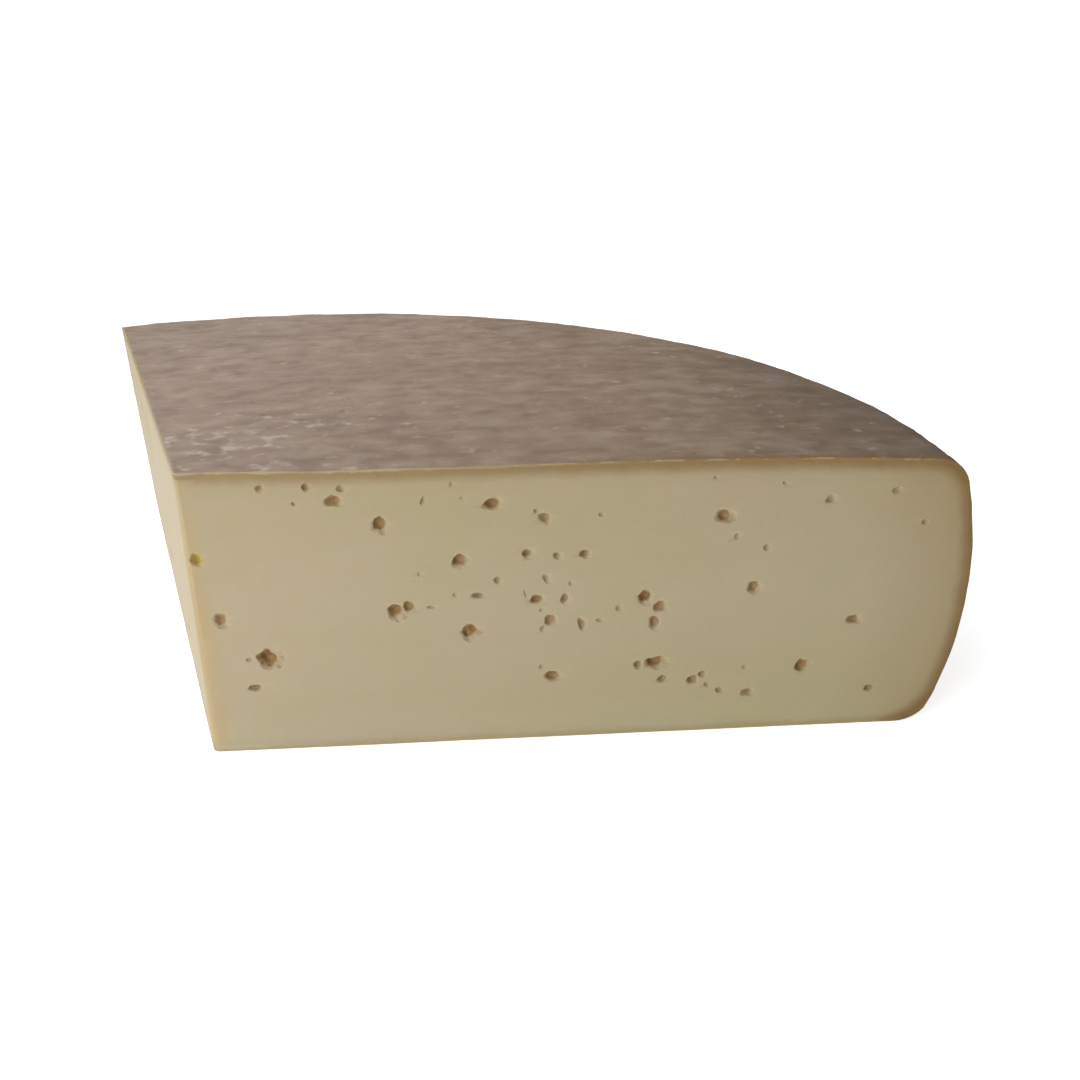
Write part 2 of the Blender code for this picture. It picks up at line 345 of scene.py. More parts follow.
def chain(name, points):
    """Starts a mesh at the first point and extrudes it through the others, in edit mode."""
    deselect_all()
    bpy.ops.mesh.primitive_plane_add(size=MM, location=(0, 0, 0))
    obj = named(name)
    bpy.ops.object.mode_set(mode="EDIT")
    bpy.ops.mesh.select_mode(type="VERT")
    bpy.ops.mesh.select_all(action="SELECT")
    bpy.ops.mesh.merge(type="CENTER")
    bpy.ops.transform.translate(value=points[0])
    for a, b in zip(points, points[1:]):
        bpy.ops.mesh.extrude_vertices_move(TRANSFORM_OT_translate={"value": b - a})
    return obj


def finish_modifiers(obj):
    """Applies every modifier of an object, in order."""
    pick(obj)
    for modifier in list(obj.modifiers):
        bpy.ops.object.modifier_apply(modifier=modifier.name)


def cut(obj, cutter, operation="DIFFERENCE"):
    """Cuts an object with another, or with every object of a collection, and applies it."""
    modifier = obj.modifiers.new("cut", "BOOLEAN")
    modifier.operation = operation
    modifier.solver = "MANIFOLD"
    if isinstance(cutter, bpy.types.Collection):
        modifier.operand_type = "COLLECTION"
        modifier.collection = cutter
    else:
        modifier.object = cutter
    before = len(obj.data.vertices)
    finish_modifiers(obj)
    if len(obj.data.vertices) in (0, before):
        raise RuntimeError(f"nothing was cut from {obj.name}")


def throw_away(objects):
    """Removes helpers that have done their work."""
    for obj in list(objects):
        bpy.data.objects.remove(obj)


def empty_at(place, turn, scale):
    """A helper whose place, turn and stretch a texture follows."""
    deselect_all()
    bpy.ops.object.empty_add(location=place, rotation=(0, 0, turn))
    obj = bpy.context.object
    obj.scale = scale
    bpy.context.view_layer.update()
    return obj


def relief(obj, group, grain, strength, level, follows=None, depth=2):
    """Raises and sinks the vertices of a group by a cloud texture of this grain."""
    texture = bpy.data.textures.new(f"{obj.name}_relief", "CLOUDS")
    texture.noise_scale = grain
    texture.noise_depth = depth
    modifier = obj.modifiers.new("relief", "DISPLACE")
    modifier.texture = texture
    modifier.strength = strength
    modifier.mid_level = level
    modifier.vertex_group = group
    if follows:
        modifier.texture_coords = "OBJECT"
        modifier.texture_coords_object = follows
    else:
        modifier.texture_coords = "LOCAL"


# The wheel


def back_cut_shift(shape, reach, height):
    """How far the back cut stands outside an upright plane through the axis, at one place."""
    return height * (shape.back_turn * reach - shape.back_lean)


def wheel_middle(shape):
    """Where the wheel's axis meets the table. The wedge's box has its middle on the origin."""
    low = min(
        reach * math.cos(shape.wedge_angle)
        - back_cut_shift(shape, reach, height) * math.sin(shape.wedge_angle)
        for reach, height in wheel_section(shape, 0.0, 0.004, 0.02)
    )
    return Vector((-(shape.wheel_radius + low) / 2, -shape.wheel_radius / 2, 0.0))


def shoulder_middle(shape):
    """The middle of the top shoulder's arc, and the angle at which the heel's arc meets it."""
    rise = shape.wheel_height - shape.top_droop - shape.top_shoulder - shape.heel_height
    curve = shape.heel_curve - shape.top_shoulder
    angle = math.asin(rise / curve)
    reach = shape.wheel_radius - shape.heel_curve + curve * math.cos(angle)
    return (reach, shape.heel_height + rise), angle


def arc(middle, radius, start, end, spacing):
    """Points of an arc in the wheel's section, as (distance from the axis, height)."""
    steps = max(2, round(abs(end - start) * radius / spacing))
    points = []
    for i in range(steps + 1):
        angle = start + (end - start) * i / steps
        points.append((middle[0] + radius * math.cos(angle), middle[1] + radius * math.sin(angle)))
    return points


def wheel_section(shape, inset, spacing, base_spacing):
    """Half the wheel's outline at this depth under its skin, from top middle to base middle."""
    heel_middle = (shape.wheel_radius - shape.heel_curve, shape.heel_height)
    top_middle, top_angle = shoulder_middle(shape)
    base_rise = shape.heel_height - shape.base_shoulder
    base_angle = -math.asin(base_rise / (shape.heel_curve - shape.base_shoulder))
    reach = (shape.heel_curve - shape.base_shoulder) * math.cos(base_angle)
    base_middle = (heel_middle[0] + reach, shape.base_shoulder)

    top = []
    steps = round(top_middle[0] / spacing)
    for i in range(steps):
        share = i / steps
        reach = top_middle[0] * share
        swell = shape.top_swell * math.exp(-((reach / shape.swell_reach) ** 2))
        top.append((reach, shape.wheel_height + swell - shape.top_droop * share**5 - inset))
    quarter = math.pi / 2
    upper = arc(top_middle, shape.top_shoulder - inset, quarter, top_angle, spacing)
    heel = arc(heel_middle, shape.heel_curve - inset, top_angle, base_angle, spacing)
    lower = arc(base_middle, shape.base_shoulder - inset, base_angle, -quarter, spacing)
    base = []
    steps = round(base_middle[0] / base_spacing)
    for i in range(1, steps + 1):
        base.append((base_middle[0] * (1 - i / steps), inset))
    return top + upper + heel[1:-1] + lower + base


def turned_wheel(name, shape, inset, spacing, base_spacing):
    """The wheel at this depth under its skin, turned finely where the wedge is."""
    margin = math.radians(4)
    fine = shape.wedge_angle + 2 * margin
    fine_steps = round(fine * shape.wheel_radius / spacing)
    coarse_steps = 24
    middle = wheel_middle(shape)
    section = wheel_section(shape, inset, spacing, base_spacing)
    aim = Vector((math.cos(-margin), math.sin(-margin), 0.0))
    points = [middle + aim * reach + Vector((0, 0, height)) for reach, height in section]
    obj = chain(name, points)
    bpy.ops.mesh.select_all(action="SELECT")
    for steps, angle in ((fine_steps, -fine), (coarse_steps, fine - 2 * math.pi)):
        bpy.ops.mesh.spin(steps=steps, angle=angle, center=middle, axis=(0, 0, 1))
    bpy.ops.mesh.select_all(action="SELECT")
    bpy.ops.mesh.remove_doubles(threshold=0.02 * MM)
    bpy.ops.mesh.normals_make_consistent(inside=False)
    bpy.ops.object.mode_set(mode="OBJECT")
    return obj


def inner_wheel(name, shape):
    """The wheel inside the rind. Its faces are large, because only its cuts are seen."""
    return turned_wheel(name, shape, shape.rind_thickness, 0.004, 0.008)


def wedge_block(shape):
    """A tall block whose sides are the two cuts, with a worn upright edge between them."""
    middle = wheel_middle(shape)
    angle = shape.wedge_angle
    far = 1.2 * shape.wheel_radius
    margin = 0.02
    low, high = -margin, shape.wheel_height + margin
    half = angle / 2
    rounding = shape.point_rounding
    nose = rounding / math.sin(half)
    tangent = rounding / math.tan(half)
    hub = Vector((nose * math.cos(half), nose * math.sin(half), 0.0))

    outline = [Vector((far, 0, 0)), Vector((tangent, 0, 0))]
    turns = 6
    for i in range(1, turns):
        around = -math.pi / 2 - (math.pi - angle) * i / turns
        outline.append(hub + rounding * Vector((math.cos(around), math.sin(around), 0)))
    left = Vector((math.cos(angle), math.sin(angle), 0))
    outline += [left * tangent, left * far, Vector((-0.3, 0.5, 0)), Vector((0.5, 0.5, 0))]
    points = [middle + point + Vector((0, 0, low)) for point in outline]
    block = chain("knife_block", points)
    bpy.ops.mesh.select_all(action="SELECT")
    bpy.ops.mesh.edge_face_add()

    def on_a_cut(edge):
        lengths = [(vert.co - middle).xy.length for vert in edge.verts]
        return max(lengths) < far + MM and edge.calc_length() > 0.1

    select_in_edit(block, "edges", on_a_cut)
    bpy.ops.mesh.subdivide(number_cuts=round(far / shape.cut_spacing))
    bpy.ops.mesh.select_all(action="SELECT")
    bpy.ops.mesh.extrude_region_move(TRANSFORM_OT_translate={"value": (0, 0, high - low)})

    def behind_the_front(vert, level):
        near = (vert.co - middle).xy.length < far + MM
        return near and abs(vert.co.z - level) < MM and vert.co.y > middle.y + 0.01 * MM

    for level in (low, high):
        select_in_edit(block, "verts", lambda vert: behind_the_front(vert, level))
        lean = shape.back_lean * level / math.sin(angle)
        bpy.ops.transform.translate(value=(lean, 0, 0))
        bpy.ops.transform.rotate(
            value=-shape.back_turn * level, orient_axis="Z", center_override=middle,
        )
    select_in_edit(block, "edges", lambda edge: abs(edge.verts[0].co.z - edge.verts[1].co.z) > 0.05)
    bpy.ops.mesh.subdivide(number_cuts=round((high - low) / shape.cut_spacing))
    bpy.ops.mesh.select_all(action="SELECT")
    bpy.ops.mesh.normals_make_consistent(inside=False)
    bpy.ops.object.mode_set(mode="OBJECT")

    cuts = block.vertex_groups.new(name="cuts")
    near = [v.index for v in block.data.vertices if (v.co - middle).xy.length < far - MM]
    cuts.add(near, 1.0, "REPLACE")
    broad = empty_at(middle, 0.0, (1, 1, 1))
    drag = empty_at(middle, 0.0, (5, 5, 1))
    relief(block, "cuts", 0.030, -0.75 * shape.knife_waves, 0.0, broad)
    relief(block, "cuts", 0.0035, -0.25 * shape.knife_waves, 0.0, drag)
    finish_modifiers(block)
    throw_away([broad, drag])
    return block


# The eyes


def scattered_eyes():
    """The eyes of the back cut, in the same form as the front cut's."""
    draw = random.Random(BACK_SEED)
    eyes = []
    for nest in range(BACK_NESTS):
        low, high = BACK_REACH
        reach = low + (high - low) * (nest + draw.random()) / BACK_NESTS
        height = draw.uniform(*BACK_HEIGHT)
        for _ in range(draw.randint(*EYES_A_NEST)):
            x = min(max(draw.gauss(reach, NEST_SPREAD[0]), low), high)
            z = min(max(draw.gauss(height, NEST_SPREAD[1]), BACK_HEIGHT[0]), BACK_HEIGHT[1])
            width = EYE_WIDTH[0] + (EYE_WIDTH[1] - EYE_WIDTH[0]) * draw.random() ** SMALL_EYES
            squat = draw.uniform(*EYE_SQUAT)
            turn = draw.uniform(-EYE_TURN, EYE_TURN)
            deep = EYE_DEPTHS[len(eyes) % len(EYE_DEPTHS)]
            eyes.append((x, z, width, width * squat, turn, deep))
    return eyes


def model_eye(fineness):
    """One eye of radius 1, which is cut off a little in front of its middle.

    A shallow dish opens into a narrower hole, so that its wall slopes most gently on the right.
    """
    deselect_all()
    bpy.ops.mesh.primitive_ico_sphere_add(subdivisions=fineness, radius=1, location=(0, 0, 0))
    eye = named("eye_model")
    bpy.ops.object.mode_set(mode="EDIT")
    for step in MOUTH_STEPS:
        select_in_edit(eye, "verts", lambda vert: vert.co.y < step)
        bpy.ops.transform.resize(value=MOUTH_FLARE, center_override=(0, 0, 0))
    for step in WALL_STEPS:
        select_in_edit(eye, "verts", lambda vert: vert.co.y > step)
        bpy.ops.transform.resize(value=WALL_NARROWING, center_override=WALL_MIDDLE)
    bpy.ops.object.mode_set(mode="OBJECT")
    return eye


def place_eye(model, eye, side, shape, collection):
    """A copy of the model eye at its size and place on a cut.

    side is 1 on the front cut, where distances run along +X, and -1 on the back cut.
    """
    x, z, width, height, turn, deep = eye
    share = 1 / math.sqrt(1 - EYE_SINK**2)
    half_width = 0.5 * width * MM * share
    half_height = 0.5 * height * MM * share
    depth = EYE_DEPTH * math.sqrt(deep * half_width * half_height)
    behind = EYE_SINK * depth
    if side < 0:
        behind -= back_cut_shift(shape, x * MM, z * MM)
    copy = model.copy()
    copy.data = model.data.copy()
    collection.objects.link(copy)
    place = Matrix.Translation((side * x * MM, behind, z * MM))
    spin = Matrix.Rotation(-side * math.radians(turn), 4, "Y")
    size = Matrix.Diagonal((half_width, depth, half_height, 1))
    swing = Matrix.Rotation(0.0 if side > 0 else shape.wedge_angle - math.pi, 4, "Z")
    copy.data.transform(Matrix.Translation(wheel_middle(shape)) @ swing @ place @ spin @ size)
    uneven = WALL_UNEVENNESS * min(half_width, half_height)
    relief(copy, "", WALL_GRAIN, uneven, 0.45, depth=1)
    return copy


def make_eyes(shape):
    """All the eyes that the two cuts open, in a collection of their own."""
    collection = bpy.data.collections.new("eyes")
    bpy.context.scene.collection.children.link(collection)
    fine = model_eye(shape.eye_fineness)
    coarse = model_eye(shape.eye_fineness - 1)
    for side, eyes in ((1, FRONT_EYES), (-1, scattered_eyes())):
        for eye in eyes:
            model = fine if max(eye[2:4]) > LARGE_EYE else coarse
            place_eye(model, eye, side, shape, collection)
    throw_away([fine, coarse])
    return collection


# Materials


class Value:
    """A number, vector or colour on its way through a material's nodes."""

    def __init__(self, finish, socket):
        self.finish = finish
        self.socket = socket

    def maths(self, operation, a, b=0.0):
        """A Math node on one or two values."""
        return self.finish.node("Math", {"operation": operation}, {0: a, 1: b})

    def __add__(self, other):
        return self.maths("ADD", self, other)

    def __radd__(self, other):
        return self.maths("ADD", other, self)

    def __sub__(self, other):
        return self.maths("SUBTRACT", self, other)

    def __rsub__(self, other):
        return self.maths("SUBTRACT", other, self)

    def __mul__(self, other):
        return self.maths("MULTIPLY", self, other)

    def __rmul__(self, other):
        return self.maths("MULTIPLY", other, self)

    def __truediv__(self, other):
        return self.maths("DIVIDE", self, other)

    def __rtruediv__(self, other):
        return self.maths("DIVIDE", other, self)

    def __pow__(self, other):
        return self.maths("POWER", self, other)

    def least(self, other):
        """The smaller of two values."""
        return self.maths("MINIMUM", self, other)

    def most(self, other):
        """The larger of two values."""
        return self.maths("MAXIMUM", self, other)

    def root(self):
        """The square root."""
        return self.maths("SQRT", self)

    def exponential(self):
        """e to the power of this value."""
        return self.maths("EXPONENT", self)

    def rise(self, low, high):
        """0 under low, 1 over high, and a smooth step between them."""
        return self.finish.node(
            "MapRange", {"interpolation_type": "SMOOTHSTEP"},
            {"Value": self, "From Min": low, "From Max": high, "To Min": 0.0, "To Max": 1.0},
        )

    def fall(self, low, high):
        """1 under low, 0 over high, and a smooth step between them."""
        return 1 - self.rise(low, high)


class Finish:
    """The nodes of one material."""

    def __init__(self, name):
        self.material = bpy.data.materials.new(name)
        self.material.use_nodes = True
        self.tree = self.material.node_tree
        self.shader = self.tree.nodes["Principled BSDF"]

    def node(self, kind, settings, inputs, output=0):
        """Adds a node, sets it, fills its sockets and gives one of its outputs."""
        new = self.tree.nodes.new("ShaderNode" + kind)
        for key, value in settings.items():
            setattr(new, key, value)
        for key, value in inputs.items():
            self.fill(new.inputs[key], value)
        return Value(self, new.outputs[output])

    def fill(self, socket, value):
        """Links a value to a socket, or sets the socket to a number or a colour."""
        if isinstance(value, Value):
            self.tree.links.new(value.socket, socket)
        elif socket.type == "RGBA":
            socket.default_value = (*value[:3], 1.0)
        else:
            socket.default_value = value

    def mix(self, factor, a, b, blend="MIX"):
        """A colour between two others."""
        return self.node(
            "Mix", {"data_type": "RGBA", "blend_type": blend, "clamp_factor": True},
            {0: factor, 6: a, 7: b}, 2,
        )

    def shaded(self, colour, shade):
        """A colour made lighter or darker by a factor."""
        grey = self.node("CombineColor", {}, {0: shade, 1: shade, 2: shade})
        return self.mix(1.0, colour, grey, "MULTIPLY")

    def surface(self, inputs):
        """Fills the shader's sockets."""
        for key, value in inputs.items():
            self.fill(self.shader.inputs[key], value)

    def stretched(self, vector, scale):
        """A vector with each axis multiplied."""
        return self.node("Mapping", {"vector_type": "POINT"}, {"Vector": vector, "Scale": scale})

    def clouds(self, vector, size, detail=2.0, roughness=0.5, distortion=0.0):
        """Noise whose blobs are about this many millimetres wide."""
        return self.node(
            "TexNoise", {"noise_dimensions": "3D"},
            {"Vector": vector, "Scale": 1.0 / size, "Detail": detail, "Roughness": roughness,
             "Distortion": distortion},
        )

    def bump(self, height, distance, normal=None):
        """A normal raised by a height, whose full step is this many metres."""
        inputs = {"Height": height, "Distance": distance, "Strength": 1.0}
        if normal:
            inputs["Normal"] = normal
        return self.node("Bump", {}, inputs)


def wheel_space(finish, shape):
    """Object coordinates in millimetres, centred on the foot of the wheel's axis."""
    place = finish.node("TexCoord", {}, {}, "Object")
    away = [-1000 * number for number in wheel_middle(shape)]
    return finish.node(
        "Mapping", {"vector_type": "POINT"},
        {"Vector": place, "Scale": (1000, 1000, 1000), "Location": away},
    )


class Place:
    """Distances that the cheese's finishes read, in millimetres."""

    def __init__(self, finish, shape):
        self.vector = wheel_space(finish, shape)
        self.x = finish.node("SeparateXYZ", {}, {0: self.vector}, 0)
        self.y = finish.node("SeparateXYZ", {}, {0: self.vector}, 1)
        self.z = finish.node("SeparateXYZ", {}, {0: self.vector}, 2)
        self.reach = (self.x * self.x + self.y * self.y).root()
        angle = shape.wedge_angle
        upright = self.x * math.sin(angle) + self.y * -math.cos(angle)
        shift = self.z * (self.reach * (shape.back_turn * MM) - shape.back_lean)
        self.behind_front = self.y
        self.behind_back = upright + shift
        self.behind_cut = self.behind_front.least(self.behind_back)

        curve = shape.heel_curve / MM
        out = (self.reach - (shape.wheel_radius - shape.heel_curve) / MM).most(0.0)
        up = self.z - shape.heel_height / MM
        self.under_heel = curve - (out * out + up * up).root()
        share = self.reach / (shoulder_middle(shape)[0][0] / MM)
        droop = (share**5) * (shape.top_droop / MM)
        self.under_top = shape.wheel_height / MM + self.swell(shape) - droop - self.z
        upper = self.rounded(shape.top_shoulder / MM, self.under_top, self.under_heel)
        lower = self.rounded(shape.base_shoulder / MM, self.z, self.under_heel)
        self.depth = upper.least(lower)

    def swell(self, shape):
        """How far the middle of the top stands up here."""
        share = self.reach / (shape.swell_reach / MM)
        return (share * share * -1.0).exponential() * (shape.top_swell / MM)

    @staticmethod
    def rounded(radius, a, b):
        """Depth under two skins that meet in a rounded shoulder."""
        gap_a = (radius - a).most(0.0)
        gap_b = (radius - b).most(0.0)
        return radius - (gap_a * gap_a + gap_b * gap_b).root()


def section_colours(finish, place, colours):
    """The colours of a cut: paste, the darker paste near the rind, the brown band, and painted
    shade that darkens the paste on the back cut.

    The band grows darker from the point to the heel, and is only a thin line above the base.
    """
    broad = finish.clouds(place.vector, 42.0, 2.0, 0.5) - (place.x - 90.0) * 0.0006
    low_right = place.z.fall(4.0, 42.0) * place.x.rise(10.0, 160.0)
    rosy = broad.rise(0.46, 0.66) * 0.6
    olive = (broad.fall(0.34, 0.52) * 0.45).most(low_right * 0.9)
    paste = finish.mix(rosy, colours.paste, colours.paste_rosy)
    paste = finish.mix(olive, paste, colours.paste_olive)
    # Painted shade: the paste on the back cut, the face that the key lamp lights most, is darkened
    # towards the edge paste colour.
    on_back = (place.behind_front - place.behind_back).rise(-1.0, 4.0)
    paste = finish.mix(on_back * 0.62, paste, colours.paste_edge_and_shade)
    smear = finish.clouds(finish.stretched(place.vector, (0.25, 0.25, 1.0)), 6.0, 3.0, 0.6)
    paste = finish.mix(smear.rise(0.35, 0.75) * 0.08, paste, colours.paste_edge_and_shade)

    wobble = (finish.clouds(place.vector, 7.0, 3.0, 0.6) - 0.5) * 1.8
    depth = place.depth + wobble
    at_heel = place.under_heel.fall(3.0, 14.0)
    at_base = place.z.fall(5.0, 13.0) * (1 - at_heel)
    width = 1.0 - 0.5 * at_base
    near = 0.32 * depth.fall(2.0, 14.0) * (1 - at_base) + 0.16 * place.under_top.fall(5.0, 36.0)
    near = near + 0.50 * place.under_heel.fall(4.0, 32.0)
    paste = finish.mix(near, paste, colours.paste_edge_and_shade)
    strength = 0.68 + 0.20 * place.reach.rise(20.0, 140.0)
    lower = 1 - at_base * (0.92 - 0.32 * place.reach.rise(4.0, 40.0))
    band = (depth / width).fall(0.9, 4.9) * strength * lower * (1 - 0.6 * on_back)
    cut_colour = finish.mix(band, paste, colours.band)
    rim = depth.fall(0.3, 1.8) * at_heel * 0.4
    return finish.mix(rim, cut_colour, colours.heel_rim)


def mellow_patch(finish, across, along, colours, base):
    """Lays a soft yellow patch on a colour. Both distances are shares of the patch's reach."""
    away = (across * across + along * along).root()
    return finish.mix(away.fall(0.4, 1.0) * 0.9, base, colours.mellow)


def paste_finish(shape, colours):
    """Pale paste, with brown deep in the eyes, partly their walls' own colour and partly painted
    shade, and ochre wear on the upright edge.
    """
    finish = Finish("tomme_paste")
    place = Place(finish, shape)
    cut_colour = section_colours(finish, place, colours)

    patches = finish.clouds(place.vector, 11.0, 3.0, 0.6)
    worn = place.x.fall(2.8, 7.0) * place.behind_front.fall(0.5, 2.5) * patches.rise(0.26, 0.52)
    cut_colour = finish.mix(worn * 0.8, cut_colour, colours.point)

    grain = finish.clouds(place.vector, 1.1, 3.0, 0.6)
    inside = place.behind_cut + (grain - 0.5) * 0.6
    # The brown deep in an eye is partly the wall's own darker colour and partly painted shade,
    # growing with the distance behind the cut.
    eye = inside.rise(0.15, 1.45) * place.reach.rise(2.5, 4.5)
    base = finish.mix(eye * 0.94, cut_colour, colours.eye)
    across = (place.x - MELLOW_EYE[0]) / MELLOW_REACH
    along = (place.z - MELLOW_EYE[1]) / MELLOW_REACH
    base = mellow_patch(finish, across, along, colours, base)

    drag = finish.clouds(finish.stretched(place.vector, (0.08, 0.08, 1.0)), 1.3, 3.0, 0.6)
    crumb = finish.clouds(place.vector, 0.7, 2.0, 0.5)
    finish.surface({
        "Base Color": finish.shaded(base, 0.97 + 0.06 * grain),
        "Roughness": 0.50 + 0.10 * patches - 0.12 * eye,
        "Normal": finish.bump(0.5 * drag + 0.5 * crumb, 0.00008),
        "Subsurface Weight": 0.35,
        "Subsurface Radius": (1.0, 0.6, 0.3),
        "Subsurface Scale": 0.004,
        "Specular IOR Level": 0.35,
    })
    return finish.material


def rind_finish(shape, colours):
    """Dusty grey-brown skin with soft streaks, marks and mould, and a brown cut edge, darkened by
    painted shade towards the right and at the back on the left.
    """
    finish = Finish("tomme_rind")
    place = Place(finish, shape)
    section = section_colours(finish, place, colours)
    ragged = finish.clouds(place.vector, 5.0, 3.0, 0.6)
    crust = (place.depth + (ragged - 0.5) * 1.6).fall(0.3, 0.9)
    crust = crust * (0.95 - 0.95 * place.reach.rise(40.0, 125.0) * ragged.fall(0.46, 0.60))
    section = finish.mix(crust * place.under_heel.rise(4.0, 14.0), section, colours.crust)

    streaky = finish.stretched(place.vector, (0.7, 1.0, 1.0))
    broad = finish.clouds(streaky, 26.0, 2.0, 0.5)
    blotches = finish.clouds(streaky, 6.5, 2.0, 0.5, 0.3)
    grain = finish.clouds(place.vector, 1.8, 3.0, 0.6)
    skin = finish.mix(place.x.rise(-20.0, 170.0), colours.rind, colours.rind_far)
    dusty = (0.35 * broad + 0.65 * blotches).rise(0.46, 0.68)
    skin = finish.mix(dusty * 0.65, skin, colours.rind_pale)
    dark = (0.30 * broad + 0.70 * blotches).fall(0.32, 0.50)
    skin = finish.mix(dark * 0.5, skin, colours.rind_dark)
    # Painted shade: the skin is darkened towards the right and at the back on the left, where less
    # lamp light falls; the grain's small changes are the skin's own tone.
    grain_and_painted_shade = (0.90 + 0.20 * grain) * (1.0 - 0.34 * place.x.rise(110.0, 200.0))
    grain_and_painted_shade = grain_and_painted_shade * (1.0 - 0.12 * place.y.rise(50.0, 150.0) * place.x.fall(-40.0, 40.0))
    skin = finish.shaded(skin, grain_and_painted_shade)

    marks = finish.clouds(streaky, 3.4, 2.0, 0.5, 0.4).rise(0.66, 0.82)
    skin = finish.mix(marks * 0.4, skin, colours.mark)
    smears = finish.clouds(place.vector, 4.4, 2.0, 0.5)
    nests = finish.clouds(place.vector, 18.0, 2.0, 0.5)
    crowd = 1.20 * place.reach.fall(15.0, 90.0)
    edge = place.behind_front.fall(1.0, 9.0)
    reach = (crowd + 0.7 * edge) * nests.rise(0.34, 0.60)
    white = (smears + 0.13 * reach).rise(0.61, 0.86)
    skin = finish.mix(white * 0.7, skin, colours.mould)
    browned = place.behind_front.fall(0.5, 5.0) * place.x.rise(70.0, 150.0)
    skin = finish.mix(browned * ragged.rise(0.30, 0.55) * 0.8, skin, colours.band)

    at_cut = (place.behind_cut + (grain - 0.5) * 0.5).fall(0.45, 0.75)
    base = finish.mix(at_cut, skin, section)
    across = (place.behind_back + place.under_top.most(0.0)) / NICK_REACH[0]
    along = (place.reach - NICK[0]) / NICK_REACH[1]
    height = 0.5 * blotches + 0.3 * grain - 0.2 * marks + 0.15 * white
    finish.surface({
        "Base Color": mellow_patch(finish, across, along, colours, base),
        "Roughness": 0.82 + 0.12 * grain - 0.20 * at_cut,
        "Normal": finish.bump(height, 0.0005),
        "Subsurface Weight": 0.05,
        "Subsurface Radius": (1.0, 0.5, 0.25),
        "Subsurface Scale": 0.0015,
        "Specular IOR Level": 0.3,
    })
    return finish.material


# Operators


def finish_piece(obj, material):
    """Gives a piece its finish, its smooth shading and its body, and hides the node it stands for.
    """
    pick(obj)
    bpy.ops.object.shade_smooth_by_angle(angle=math.radians(35))
    obj.data.materials.clear()
    obj.data.materials.append(material)
    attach(obj, "root")
    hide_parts(NODE)


class TOMME_OT_paste(Operator):
    """Models the paste: the inner wheel, cut to a wedge, with its eyes opened."""

    bl_idname = "mesh.tomme_paste_add"
    bl_label = "Paste"

    def execute(self, context):
        shape = context.scene.tomme_shape
        inner = inner_wheel("tomme_paste", shape)
        block = wedge_block(shape)
        cut(inner, block, "INTERSECT")
        eyes = make_eyes(shape)
        cut(inner, eyes)
        throw_away(eyes.objects)
        bpy.data.collections.remove(eyes)
        throw_away([block])
        finish_piece(inner, paste_finish(shape, context.scene.tomme_colours))
        return {"FINISHED"}


class TOMME_OT_rind(Operator):
    """Models the rind: the wheel's uneven skin, hollowed for the paste and cut to a wedge."""

    bl_idname = "mesh.tomme_rind_add"
    bl_label = "Rind"

    def execute(self, context):
        shape = context.scene.tomme_shape
        skin = turned_wheel("tomme_rind", shape, 0.0, shape.skin_spacing, 0.006)
        above = skin.vertex_groups.new(name="above_base")
        limit = 0.5 * shape.base_shoulder
        above.add([v.index for v in skin.data.vertices if v.co.z > limit], 1.0, "REPLACE")
        middle = wheel_middle(shape)
        broad = empty_at(middle, math.pi / 150, (1, 1, 1))
        streaks = empty_at(middle, 0.0, (3, 1, 1))
        relief(skin, "above_base", 0.014, 0.0004, 0.5, broad, depth=1)
        relief(skin, "above_base", 0.005, 0.0004, 0.85, streaks)
        relief(skin, "above_base", 0.0025, 0.0002, 0.85)
        finish_modifiers(skin)
        throw_away([broad, streaks])
        inner = inner_wheel("paste_room", shape)
        block = wedge_block(shape)
        cut(skin, inner)
        cut(skin, block, "INTERSECT")
        model = model_eye(shape.eye_fineness - 1)
        nick = place_eye(model, NICK, -1, shape, context.collection)
        cut(skin, nick)
        throw_away([inner, block, model, nick])
        finish_piece(skin, rind_finish(shape, context.scene.tomme_colours))
        return {"FINISHED"}


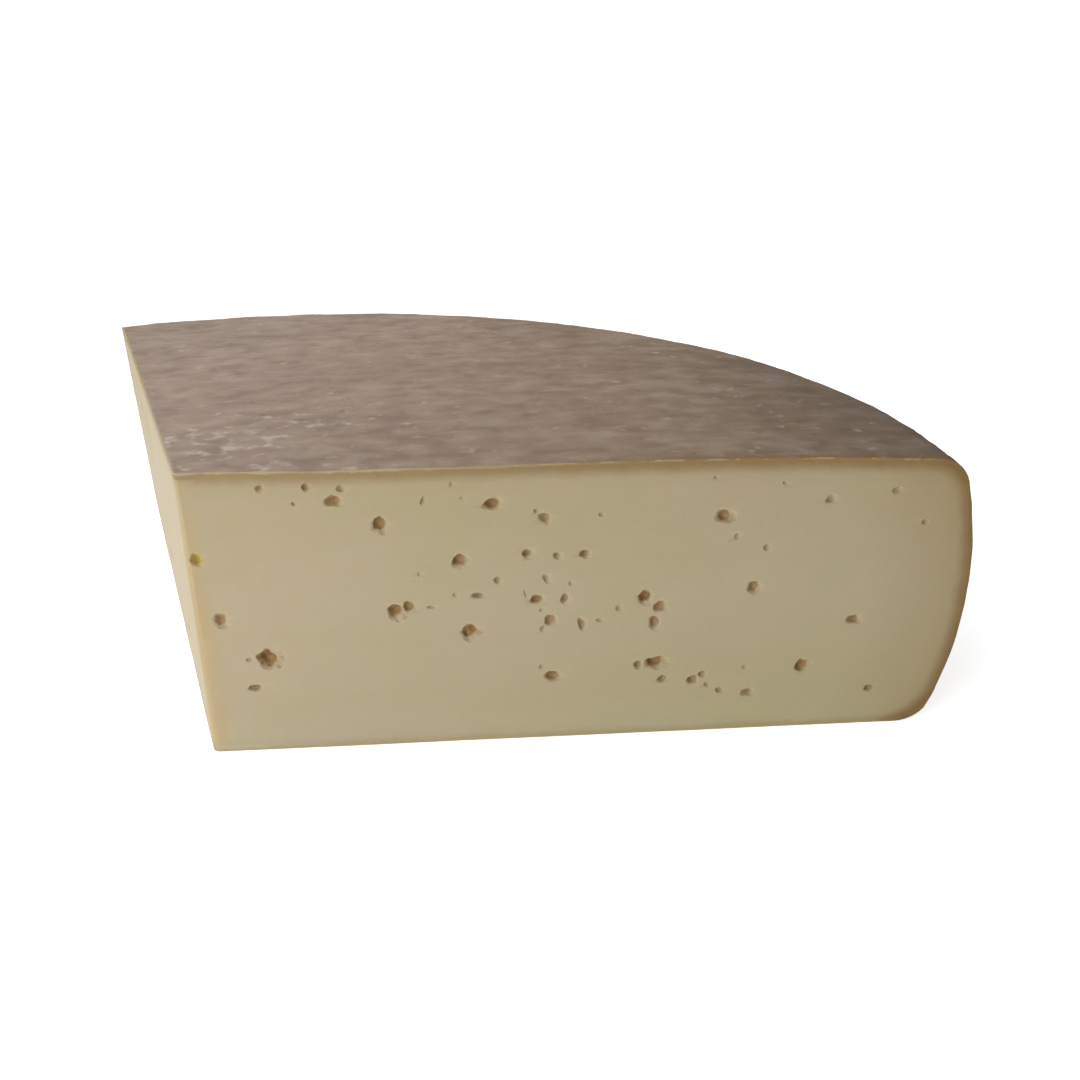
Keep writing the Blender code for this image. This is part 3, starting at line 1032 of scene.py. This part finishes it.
class TOMME_OT_stage(Operator):
    """Lays the white table, and sets the lights and the camera."""

    bl_idname = "scene.tomme_stage_add"
    bl_label = "Table, light and camera"

    def execute(self, context):
        stage = context.scene.tomme_stage
        self.lay_table(stage)
        self.light(context, stage)
        self.aim_camera(context, stage)
        return {"FINISHED"}

    def lay_table(self, stage):
        """A white sheet on the table that curves up behind the cheese."""
        width, height, bend, below = 6.0, 2.5, 1.2, 0.2 * MM
        far = width / 2 - 0.1
        deselect_all()
        bpy.ops.mesh.primitive_plane_add(size=width, location=(0, 0, 0))
        table = named("table")
        bpy.ops.object.mode_set(mode="EDIT")
        select_in_edit(table, "edges", lambda edge: all(vert.co.y > far for vert in edge.verts))
        bpy.ops.mesh.extrude_region_move(TRANSFORM_OT_translate={"value": (0, 0, height)})
        select_in_edit(
            table, "edges",
            lambda edge: all(vert.co.y > far and vert.co.z < 0.1 for vert in edge.verts),
        )
        bpy.ops.mesh.bevel(offset=bend, segments=16)
        bpy.ops.mesh.select_all(action="SELECT")
        bpy.ops.transform.translate(value=(0, 0, -below))
        bpy.ops.object.mode_set(mode="OBJECT")
        pick(table)
        bpy.ops.object.shade_smooth()
        finish = Finish("white_table")
        grain = finish.clouds(finish.node("TexCoord", {}, {}, "Object"), 0.02, 3.0, 0.6)
        finish.surface({
            "Base Color": stage.floor,
            "Roughness": 0.65 + 0.1 * grain,
            "Emission Color": stage.floor,
            "Emission Strength": stage.floor_glow,
        })
        table.data.materials.append(finish.material)

    def light(self, context, stage):
        """An even room, a soft key light above on the left and a soft fill in front of it."""
        scene = context.scene
        world = bpy.data.worlds.new("studio")
        scene.world = world
        world.use_nodes = True
        sky = world.node_tree.nodes["Background"]
        sky.inputs["Color"].default_value = (1.0, 1.0, 1.0, 1.0)
        sky.inputs["Strength"].default_value = stage.world_light
        self.lamp("key", *KEY_LAMP, stage.key_light)
        self.lamp("fill", *FILL_LAMP, stage.fill_light)
        scene.view_settings.view_transform = "Standard"

    def lamp(self, name, place, size, power):
        """A square soft light that faces the cheese."""
        deselect_all()
        turn = (Vector(place) - Vector(LAMP_AIM)).to_track_quat("Z", "Y").to_euler()
        bpy.ops.object.light_add(type="AREA", location=place, rotation=turn)
        lamp = named(name)
        lamp.data.shape = "SQUARE"
        lamp.data.size = size
        lamp.data.energy = power

    def aim_camera(self, context, stage):
        """Looks at the front cut from a little to the right and above, as the photo does."""
        yaw, pitch, roll = CAMERA_YAW, CAMERA_PITCH, CAMERA_ROLL
        ahead = Vector((
            math.sin(yaw) * math.cos(pitch), math.cos(yaw) * math.cos(pitch), -math.sin(pitch),
        ))
        right = Vector((math.cos(yaw), -math.sin(yaw), 0.0))
        above = right.cross(ahead)
        level = math.cos(roll) * right + math.sin(roll) * above
        upright = math.cos(roll) * above - math.sin(roll) * right
        turn = Matrix((level, upright, -ahead)).transposed().to_4x4()
        place = wheel_middle(context.scene.tomme_shape) + Vector(CAMERA_PLACE)
        deselect_all()
        bpy.ops.object.camera_add()
        camera = named("camera")
        camera.matrix_world = Matrix.Translation(place) @ turn
        camera.data.sensor_width = 36.0
        camera.data.lens = stage.lens
        camera.data.clip_start = 0.01
        context.scene.camera = camera


class TOMME_PT_panel(Panel):
    """Lists the cheese's pieces, sizes and colours."""

    bl_idname = "TOMME_PT_panel"
    bl_label = "Tomme wedge"
    bl_space_type = "VIEW_3D"
    bl_region_type = "UI"
    bl_category = "Tomme"

    def draw(self, context):
        layout = self.layout
        for operator in OPERATORS:
            layout.operator(operator.bl_idname)
        for settings in ("tomme_shape", "tomme_colours", "tomme_stage"):
            group = getattr(context.scene, settings)
            column = layout.column(heading=settings)
            for key in group.__annotations__:
                column.prop(group, key)


OPERATORS = (TOMME_OT_paste, TOMME_OT_rind, TOMME_OT_stage)
CLASSES = (TommeShape, TommeColours, TommeStage, *OPERATORS, TOMME_PT_panel)


def register():
    for cls in CLASSES:
        bpy.utils.register_class(cls)
    bpy.types.Scene.tomme_shape = PointerProperty(type=TommeShape)
    bpy.types.Scene.tomme_colours = PointerProperty(type=TommeColours)
    bpy.types.Scene.tomme_stage = PointerProperty(type=TommeStage)


def unregister():
    del bpy.types.Scene.tomme_stage
    del bpy.types.Scene.tomme_colours
    del bpy.types.Scene.tomme_shape
    for cls in reversed(CLASSES):
        bpy.utils.unregister_class(cls)


def main():
    register()
    bpy.ops.mesh.tomme_paste_add()
    bpy.ops.mesh.tomme_rind_add()
    bpy.ops.scene.tomme_stage_add()
    deselect_all()


if __name__ == "__main__":
    main()
